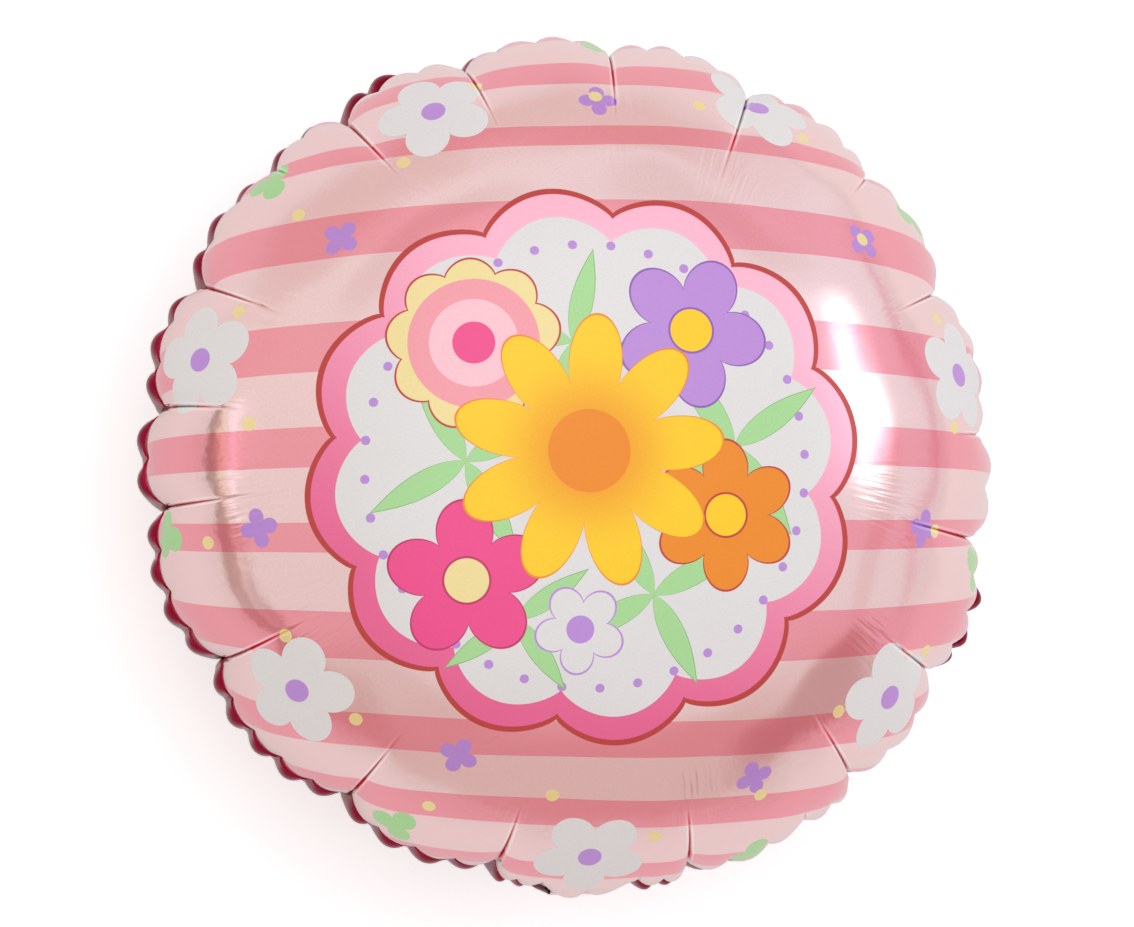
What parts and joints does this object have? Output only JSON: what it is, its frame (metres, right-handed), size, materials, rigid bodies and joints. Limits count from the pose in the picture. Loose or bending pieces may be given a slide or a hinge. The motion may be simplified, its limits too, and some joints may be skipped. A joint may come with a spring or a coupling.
{
  "type": "foil balloon",
  "caption": "Round party balloon of two heat-sealed metallised film discs, inflated and pleated round its seam, with a folded inflation tail.",
  "frame": {"origin": "middle of the small flat spot that the balloon lies on, at the centre of the back film", "axes": "+Z out through the middle of the printed front film, +Y towards the top of the print, the tail is on the -Y side"},
  "size_m": [0.3618, 0.3644, 0.2088],
  "materials": {
    "printed_film": "glossy metallised film, printed with light and mid pink stripes and a flower design",
    "dark_pink_film": "mirror-bright metallised film, tinted dark pink all over"
  },
  "bodies": {
    "root": {"front_film": "printed_film", "back_film": "dark_pink_film"}
  },
  "joints": []
}
